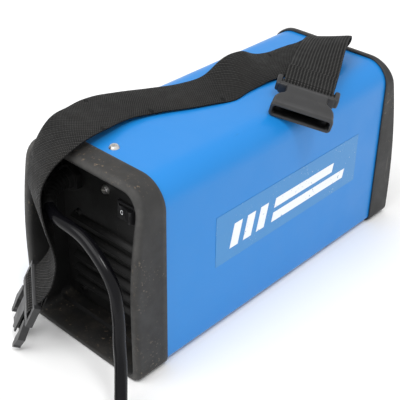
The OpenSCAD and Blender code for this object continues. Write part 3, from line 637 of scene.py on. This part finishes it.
def end_frame(name, outer_y, bow, panel_y, facing, node):
    """One end frame: a skirt over the cover, a bowed rim with a round edge, and the tub."""
    rim, mouth = rim_outline(), mouth_outline(RIM_FLOOR_T)
    tub_floor = SHELL_LIFT + SHELL_T + TUB_STEP
    tub, flange = mouth_outline(tub_floor), mouth_outline(tub_floor, 3)
    inner, lap = shell_outline(SHELL_T + 0.2), shell_outline(-0.15)
    # Each ring carries a tone for the frame's material: above 0 edge wear with painted highlight,
    # below 0 painted shade.
    rings, tone_mask = [], []

    def ring(points, y, wear_and_painted_light=0.0):
        rings.append([(x, facing * (y(x, z) if callable(y) else y), z) for x, z in points])
        tone_mask.append(wear_and_painted_light)

    def between(start, share):
        """A place part of the way from start out to the rim's round lip."""
        return lambda x, z: start + (bowed(outer_y, bow, z) - LIP - start) * share
    ring(lap, END_Y + 0.9)
    # Lighter edges where the rim meets the cover: edge wear and painted highlight.
    ring(rim_outline(1.3), END_Y + 0.1, 0.2)
    ring(rim_outline(0.5), END_Y + 0.1, 0.4)
    ring(rim, END_Y + 0.8, 0.4)
    for share in (0.2, 0.45, 0.7):
        ring(rim, between(END_Y, share))
    steps = 10
    for i in range(steps + 1):
        angle = math.pi * i / steps
        mix = (1 - math.cos(angle)) / 2
        points = [((1 - mix) * a[0] + mix * b[0], (1 - mix) * a[1] + mix * b[1])
                  for a, b in zip(rim, mouth)]
        halves = [math.dist(a, b) / 2 for a, b in zip(rim, mouth)]
        lift = math.sin(angle) ** 0.8
        rings.append([(x, facing * (bowed(outer_y, bow, z) - h + h * lift), z)
                      for (x, z), h in zip(points, halves)])
        # A lighter band round the lip's curve: edge wear and painted highlight.
        tone_mask.append(math.exp(-((angle / math.pi - 0.42) / 0.22) ** 2))
    # Painted shade, deeper going into the mouth and down the tub to the panel.
    for share, shade in ((0.75, -0.55), (0.5, -0.8), (0.25, -0.9)):
        ring(mouth, between(END_Y + LAP, share), shade)
    ring(mouth, END_Y + LAP + 0.6, -1)
    ring(mouth_outline((RIM_FLOOR_T + tub_floor) / 2), END_Y + LAP - 0.2, -1)
    ring(tub, END_Y + LAP - 0.8, -1)
    ring(tub, panel_y - PANEL_T, -1)
    ring(flange, panel_y - PANEL_T)
    ring(flange, panel_y - 2 * PANEL_T)
    ring(inner, panel_y - 2 * PANEL_T)
    ring(inner, END_Y + LAP)
    ring(lap, END_Y + LAP)
    obj = new_object(name, *loft(rings, closed=True), sharp=40)
    lookup = {}
    for row, wear_and_painted_light in zip(rings, tone_mask):
        for p in row:
            lookup[tuple(round(c, 2) for c in p)] = wear_and_painted_light
    # The ring tones, as a point attribute that the frame's material turns into wear, painted
    # highlight and painted shade.
    layer = obj.data.attributes.new("tone_mask", "FLOAT", "POINT")
    for v in obj.data.vertices:
        layer.data[v.index].value = lookup.get(tuple(round(c, 2) for c in v.co / MM), 0.0)
    return dress(obj, FINISH["frame_plastic"], replaces=(node,))


end_frame("rear_frame", END_Y + REAR_DEPTH, REAR_BOW, REAR_PANEL_Y, 1, "rear_bezel")
end_frame("front_frame", END_Y + FRONT_DEPTH, FRONT_BOW, -FRONT_PANEL_Y, -1, "front_bezel")


def add_cover():
    """The wrapped sheet: one skin round top, sides and the two flanges under it."""
    slot_half = 30
    sections = []
    for inset in (0, SHELL_T):
        points = shell_outline(inset)
        flat = [p for p in points if p[1] > SHELL_LIFT + inset + 1e-6 or abs(p[0]) > slot_half]
        right = [p for p in flat if p[0] > 0 and p[1] <= SHELL_LIFT + inset + 1e-6]
        start = points.index(right[0])
        ordered = points[start:] + points[:start]
        ordered = [p for p in ordered if p in flat]
        z = SHELL_LIFT + inset
        sections.append([(slot_half, z)] + ordered + [(-slot_half, z)])
    loop = sections[0] + sections[1][::-1]
    reach = END_Y + LAP - 0.3
    ys = [-reach + 2 * reach * i / 24 for i in range(25)]
    rings = [[(x, y, z) for x, z in loop] for y in ys]
    obj = new_object("cover_skin", *loft(rings), sharp=40)
    return dress(obj, FINISH["shell_paint"], replaces=("shell_cover",))


add_cover()


def block(name, boxes, bevel=0.5, segments=3):
    """One mesh of boxes with rounded edges, each given by its low and high corner."""
    bm = bmesh.new()
    for low, high in boxes:
        size = [max(b - a, 1e-3) for a, b in zip(low, high)]
        middle = [(a + b) / 2 for a, b in zip(low, high)]
        made = bmesh.ops.create_cube(bm, size=1, matrix=Matrix.Translation(middle)
                                     @ Matrix.Diagonal((*size, 1)))
        edges = list({e for v in made["verts"] for e in v.link_edges})
        bmesh.ops.bevel(bm, geom=edges, offset=min(bevel, min(size) * 0.45), segments=segments,
                        affect="EDGES", profile=0.5)
    mesh = bpy.data.meshes.new(name)
    bm.transform(Matrix.Scale(MM, 4))
    for face in bm.faces:
        face.smooth = True
    bm.to_mesh(mesh)
    bm.free()
    return put(name, mesh)


def add_louvre_lips():
    """A sloping lip over each air slot of the rear panel."""
    count, pitch, z0, half = 6, 12, 22, 42
    profile = [(0, 1.6), (2.2, 1.0), (4.6, -1.6), (4.2, -2.3), (2.0, -0.6), (0, 0)]
    lips = []
    for i in range(count):
        z = z0 + i * pitch + 3.6
        rings = []
        for x in (-half, -half + 0.6, half - 0.6, half):
            shrink = 0.8 if abs(x) == half else 1
            rings.append([(x, REAR_PANEL_Y + a * shrink, z + b * shrink) for a, b in profile])
        lips.append(loft(rings))
    obj = new_object("rear_louvre_lips", *merge(lips), sharp=50)
    return dress(obj, FINISH["panel_plastic"])


add_louvre_lips()


# ---------- label ----------

def add_label_marks():
    """A plain generic mark on the film: slanted bars and two long stripes."""
    x_face = -SHELL_W / 2 - 0.25
    thick = 0.12
    slant = 5

    def bar(y0, y1, z0, z1):
        """A slanted bar; y runs towards the front."""
        lean = slant * (z1 - z0) / 20
        low = [(y0, z0), (y1, z0), (y1 - lean, z1), (y0 - lean, z1)]
        rings = [[(x_face - t, y, z) for y, z in low] for t in (0.0, thick)]
        return loft(rings)
    shapes = [bar(62 - 15 * i, 53 - 15 * i, 70, 90) for i in range(3)]
    shapes.append(bar(14, -78, 70, 78))
    shapes.append(bar(14 - 2.6, -62, 82, 90))
    obj = new_object("label_marks", *merge(shapes), sharp=30)
    return dress(obj, white_ink())


add_label_marks()


# ---------- shoulder strap ----------

STRAP_ROUTE = [
    ((30, 174, 50), (0.79, -0.60, 0.14)), ((26, 170, 56), (0.79, -0.60, 0.12)),
    ((23, 164, 66), (0.79, -0.60, 0.10)), ((25, 158, 82), (0.80, -0.60, 0.08)),
    ((31, 163, 107), (0.87, -0.48, 0.04)), ((36, 163, 122), (0.90, -0.43, 0.02)),
    ((35, 161, 137), (0.90, -0.43, -0.04)), ((31, 156, 151), (0.93, -0.34, -0.05)),
    ((28, 148, 160.5), (0.97, -0.22, 0)), ((30, 134, 164.5), (1.00, -0.06, 0.05)),
    ((34, 113, 163.5), (0.98, 0.15, 0.08)), ((37, 94, 162), (0.97, 0.20, 0.12)),
    ((35, 76, 160.5), (0.98, 0.14, 0.12)), ((29, 58, 159), (0.99, 0.05, 0.08)),
    ((21, 40, 158), (1.00, -0.06, 0.05)), ((13, 21, 157.5), (1.00, -0.10, 0.04)),
    ((7, 4, 158.5), (0.97, -0.18, 0.12)), ((6, -13, 163.5), (0.88, -0.30, 0.34)),
    ((6, -30, 163.5), (0.86, -0.38, 0.34)), ((6, -47, 160), (0.92, -0.36, 0.14)),
    ((4, -64, 158), (0.97, -0.22, 0.04)), ((2, -82, 158), (1.00, -0.06, 0)),
    ((0, -99, 158.3), (0.99, 0.08, 0)), ((-3, -111, 159.8), (0.98, 0.17, -0.04)),
    ((-6, -117, 164.5), (0.96, 0.22, -0.14)), ((-9, -113, 169), (0.94, 0.25, -0.22)),
    ((-15, -99, 170.2), (0.93, 0.31, -0.18)), ((-24, -80, 168), (0.90, 0.40, -0.06)),
    ((-34, -61, 165), (0.86, 0.47, 0.10)), ((-43, -44, 162.4), (0.83, 0.51, 0.22)),
]
FOLD_STATION = 24
FEMALE_AT, FEMALE_TURN = (-47, -37, 161), (-10, -13.5, 32)
MALE_AT, MALE_TURN = (30, 174, 49), (-67, -8, -37)


def ribbing(obj, amount):
    """Marks how much of the lengthwise rib shows at each point."""
    layer = obj.data.attributes.new("ribbed", "FLOAT", "POINT")
    for v in obj.data.vertices:
        layer.data[v.index].value = amount(v.co / MM) if callable(amount) else amount
    return obj


def add_strap():
    steps = 10
    centres = spline([c for c, _ in STRAP_ROUTE], steps)
    widths = spline([w for _, w in STRAP_ROUTE], steps)
    for i, p in enumerate(centres):
        p.z += 0.5 * noise.noise(Vector((0.0, i * 0.11, 3.0)))
    strap = ribbon("webbing_strap", centres, widths, STRAP_W, STRAP_T, cup=0.5)
    folded = [tuple(p) for p in centres[FOLD_STATION * steps:]]

    def after_fold(co):
        return 1.0 if co.z > 162 and co.y < -40 and min(
            (co - Vector(p)).length for p in folded) < STRAP_W / 2 + 1 else 0.0
    ribbing(strap, after_fold)
    length = sum((b - a).length for a, b in zip(centres, centres[1:]))
    return strap, length


def band(name, path, width, at, turn, thick=STRAP_T):
    """A short band drawn as (along, out) in a buckle's own frame, then placed."""
    centres = spline([(0, along, out) for along, out in path], 6)
    obj = ribbon(name, centres, [Vector((1, 0, 0))] * len(centres), width, thick)
    return place(ribbing(obj, 1.0), at, turn)


# Side views of two short bands, as (along, out) from each buckle's webbing bar
SEWN_END_PATH = [(-19, 3.3), (-16, 3.2), (-12, 3.0), (-5, 3.0), (0, 3.7), (3.2, 2.0), (3.6, 0),
                 (2.6, -2.4), (0, -3.6), (-4, -2.6)]
LOOP_PATH = [(-10, -4.6), (-3, -4.8), (4, -4.6), (9.5, -3.8), (12.3, -1.4), (12.3, 1.3),
             (9.5, 3.2), (6.6, 2.8), (4.6, 0.8), (3.6, -1.6), (0, -3.2), (-6, -2.6)]

strap, strap_length = add_strap()
dress(strap, FINISH["webbing"], replaces=("shoulder_strap",))
sewn_end = band("webbing_sewn_end", SEWN_END_PATH, STRAP_W - 1, FEMALE_AT, FEMALE_TURN)
dress(sewn_end, FINISH["webbing"], replaces=("strap_hem",))
loop = band("webbing_loop", LOOP_PATH, STRAP_W - 1.5, MALE_AT, MALE_TURN, 1.6)
dress(loop, FINISH["webbing"])


# ---------- buckle ----------

def lozenge(width, thick, y, radius, corner=6):
    """A rounded rectangle across the buckle at y."""
    points = []
    r = min(radius, thick / 2 - 0.01, width / 2 - 0.01)
    for cx, cz, start in ((1, -1, -90), (1, 1, 0), (-1, 1, 90), (-1, -1, 180)):
        for k in range(corner + 1):
            a = math.radians(start + 90 * k / corner)
            points.append((cx * (width / 2 - r) + r * math.cos(a), y,
                           cz * (thick / 2 - r) + r * math.sin(a)))
    return points


def cut(obj, cutter):
    """Takes the cutter out of a piece for good and shades it again."""
    boolean = obj.modifiers.new("cut", "BOOLEAN")
    boolean.object = cutter
    boolean.solver = "EXACT"
    bpy.context.view_layer.update()
    result = bpy.data.meshes.new_from_object(
        obj.evaluated_get(bpy.context.evaluated_depsgraph_get()))
    obj.modifiers.clear()
    obj.data = result
    bpy.data.objects.remove(cutter)
    bm = bmesh.new()
    bm.from_mesh(result)
    for face in bm.faces:
        face.smooth = True
    for edge in bm.edges:
        edge.smooth = not (edge.is_manifold and edge.calc_face_angle(0) > math.radians(38))
    bm.to_mesh(result)
    bm.free()
    return obj


# Sections of the socket half and of its pocket: width, thickness, place along, corner radius
SOCKET_OUTSIDE = [
    (31.4, 9.6, 7.4, 1.2), (32.4, 10.6, 8.2, 2.0), (32.4, 11, 11, 2.4), (32.4, 11, 15.5, 2.6),
    (33.6, 11, 17.4, 2.8), (37.5, 11, 19.2, 3.0), (42.4, 11, 21.2, 3.0), (45.4, 11, 24.0, 3.0),
    (46.6, 11, 28, 3.0), (47.0, 11, 32.6, 3.0), (47.6, 11.6, 33.3, 3.2), (47.6, 11.6, 36.0, 3.2),
    (47.0, 11.0, 36.9, 3.0),
]
SOCKET_INSIDE = [
    (38, 6.2, 12, 1.4), (41, 6.6, 16, 1.6), (41.6, 6.8, 30, 1.8), (42, 7.0, 35, 2.0),
    (43.6, 8.6, 36.2, 2.4), (44.6, 9.4, 38, 2.6),
]


def add_female_buckle():
    """Socket half: ears and a bar, and one moulded body that flares to its open mouth."""
    body, cutter = (new_object(name, *loft([lozenge(*section) for section in sections]))
                    for name, sections in (("buckle_socket_body", SOCKET_OUTSIDE),
                                           ("cutter", SOCKET_INSIDE)))
    cut(body, cutter)
    # Painted shade inside the socket's pocket: points there get 1, which the buckle's material
    # darkens to near black.
    layer = body.data.attributes.new("pocket", "FLOAT", "POINT")
    for v in body.data.vertices:
        x, y, z = v.co / MM
        layer.data[v.index].value = 1.0 if abs(x) < 21.4 and abs(z) < 3.6 and y < 36 else 0.0
    place(body, FEMALE_AT, FEMALE_TURN)
    dress(body, FINISH["buckle_plastic"], replaces=("buckle_female",))
    boxes = [((side * 22.5 - 2.1, -3.8, -4), (side * 22.5 + 2.1, 8.4, 4)) for side in (-1, 1)]
    boxes += [((-22, 5.2, -4.8), (22, 9.4, 4.8)), ((-21.5, -2.2, -2.2), (21.5, 2.2, 2.2))]
    ears = place(block("buckle_socket_ears", boxes, 1.6, 4), FEMALE_AT, FEMALE_TURN)
    dress(ears, FINISH["buckle_plastic"])


add_female_buckle()


# ---------- dial, marks ----------

def add_dial_ticks():
    """Scale ticks round the knob, longer at the ends and in the middle."""
    knob = Vector((0, 100))
    y0, y1 = FRONT_PANEL_Y - 0.6, FRONT_PANEL_Y - 0.72
    count, first_turn, sweep = 11, 225, 270
    ticks = []
    for i in range(count):
        angle = math.radians(first_turn - sweep * i / (count - 1))
        out = Vector((math.cos(angle), math.sin(angle)))
        side = Vector((-out.y, out.x)) * (0.55 if i % 5 == 0 else 0.3)
        inner, outer = knob + out * 20, knob + out * (25 if i % 5 == 0 else 23.5)
        flat = [inner - side, inner + side, outer + side, outer - side]
        ticks.append(loft([[(p.x, y, p.y) for p in flat] for y in (y0, y1)]))
    obj = new_object("dial_ticks", *merge(ticks))
    return dress(obj, FINISH["panel_plastic"])


add_dial_ticks()


def add_switch_mark():
    """The 0 on the switch's off half, a thin raised ring on the rocker."""
    rings = []
    steps = 28
    for k in range(steps):
        a = math.tau * k / steps
        out = Vector((1.1 * math.cos(a), 0, 1.6 * math.sin(a)))
        unit = out.normalized()
        ring = []
        for j in range(6):
            b = math.tau * j / 6
            ring.append(out + 0.28 * (math.cos(b) * unit) + Vector((0, 0.12 * math.sin(b), 0)))
        rings.append(ring)
    obj = new_object("switch_zero_mark", *loft(rings, closed=True))
    low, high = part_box("switch_rocker")
    rocker = frame["nodes"]["switch_rocker"]
    x, z = (low.x + high.x) / 2 + 4.4 * MM, (low.z + high.z) / 2
    back = rocker.matrix_world.inverted()
    start = back @ Vector((x, high.y + 0.02, z))
    _, spot, normal, _ = rocker.ray_cast(start, back.to_3x3() @ Vector((0, -1, 0)))
    turn = Vector((0, 1, 0)).rotation_difference(normal).to_matrix().to_4x4()
    obj.data.transform(rocker.matrix_world @ Matrix.Translation(spot) @ turn)
    return dress(obj, white_ink(), body="rocker")


add_switch_mark()


# ---------- carried-over nodes ----------

SOFTEN = {
    "screw_steel": 0.15, "switch_plastic": 0.5, "gland_plastic": 0.5, "plug_plastic": 1.2,
    "socket_plastic": 0.5, "brass_contact": 0.25, "knob_plastic": 0.7, "buckle_plastic": 0.7,
    "bare_aluminium": 0.2, "chip_epoxy": 0.3, "ferrite": 0.8, "copper_bar": 0.3,
    "zinc_sheet": 0.2, "panel_plastic": 0.35, "capacitor_sleeve": 0.8, "winding_enamel": 0.8,
}


def dress_frame_nodes():
    for part in frame["record"]["subparts"]:
        obj = frame["nodes"][part["node"]]
        slot = part["material_slot"]
        obj.data.materials.clear()
        obj.data.materials.append(FINISH[slot])
        if slot not in SOFTEN or obj.hide_render:
            continue
        weld = obj.modifiers.new("weld", "WELD")
        weld.merge_threshold = 1e-5
        bevel = obj.modifiers.new("soft_edges", "BEVEL")
        bevel.width = SOFTEN[slot] * MM
        bevel.segments = 3
        bevel.limit_method = "ANGLE"
        bevel.angle_limit = math.radians(42)
        bevel.harden_normals = False


dress_frame_nodes()


# ---------- floor and light ----------

def add_floor():
    mesh = bpy.data.meshes.new("floor")
    reach = 6
    corners = [(-1, -1), (1, -1), (1, 1), (-1, 1)]
    mesh.from_pydata([(x * reach, y * reach, 0) for x, y in corners], [], [(0, 1, 2, 3)])
    floor = put("floor", mesh)
    s = Shader("pale_floor", (0.93, 0.93, 0.93), 0.6)
    s.tint(s.range(s.noise(3, 2), 0.4, 0.7, 0, 0.5), (0.95, 0.95, 0.95))
    mesh.materials.append(s.done())


def add_light(kind, name, at, target, size, strength):
    """A soft light; size is a disc's width in metres, or a sun's spread in degrees."""
    data = bpy.data.lights.new(name, kind)
    if kind == "SUN":
        data.angle = math.radians(size)
    else:
        data.shape = "DISK"
        data.size = size
    data.energy = strength
    light = put(name, data)
    light.location = at
    light.rotation_euler = (Vector(target) - Vector(at)).to_track_quat("-Z", "Y").to_euler()


WORLD_STRENGTH = 0.84


def add_world():
    world = bpy.data.worlds.new("studio")
    world.use_nodes = True
    world.node_tree.nodes["Background"].inputs["Color"].default_value = (1, 1, 1, 1)
    world.node_tree.nodes["Background"].inputs["Strength"].default_value = WORLD_STRENGTH
    bpy.context.scene.world = world


add_floor()
add_world()
add_light("SUN", "key", (-0.5, 0.1, 1.1), (0, 0, 0), 14, 0.85)
add_light("AREA", "rear_fill", (0.1, 0.9, 1.3), (0, 0.3, 0), 1.2, 11)
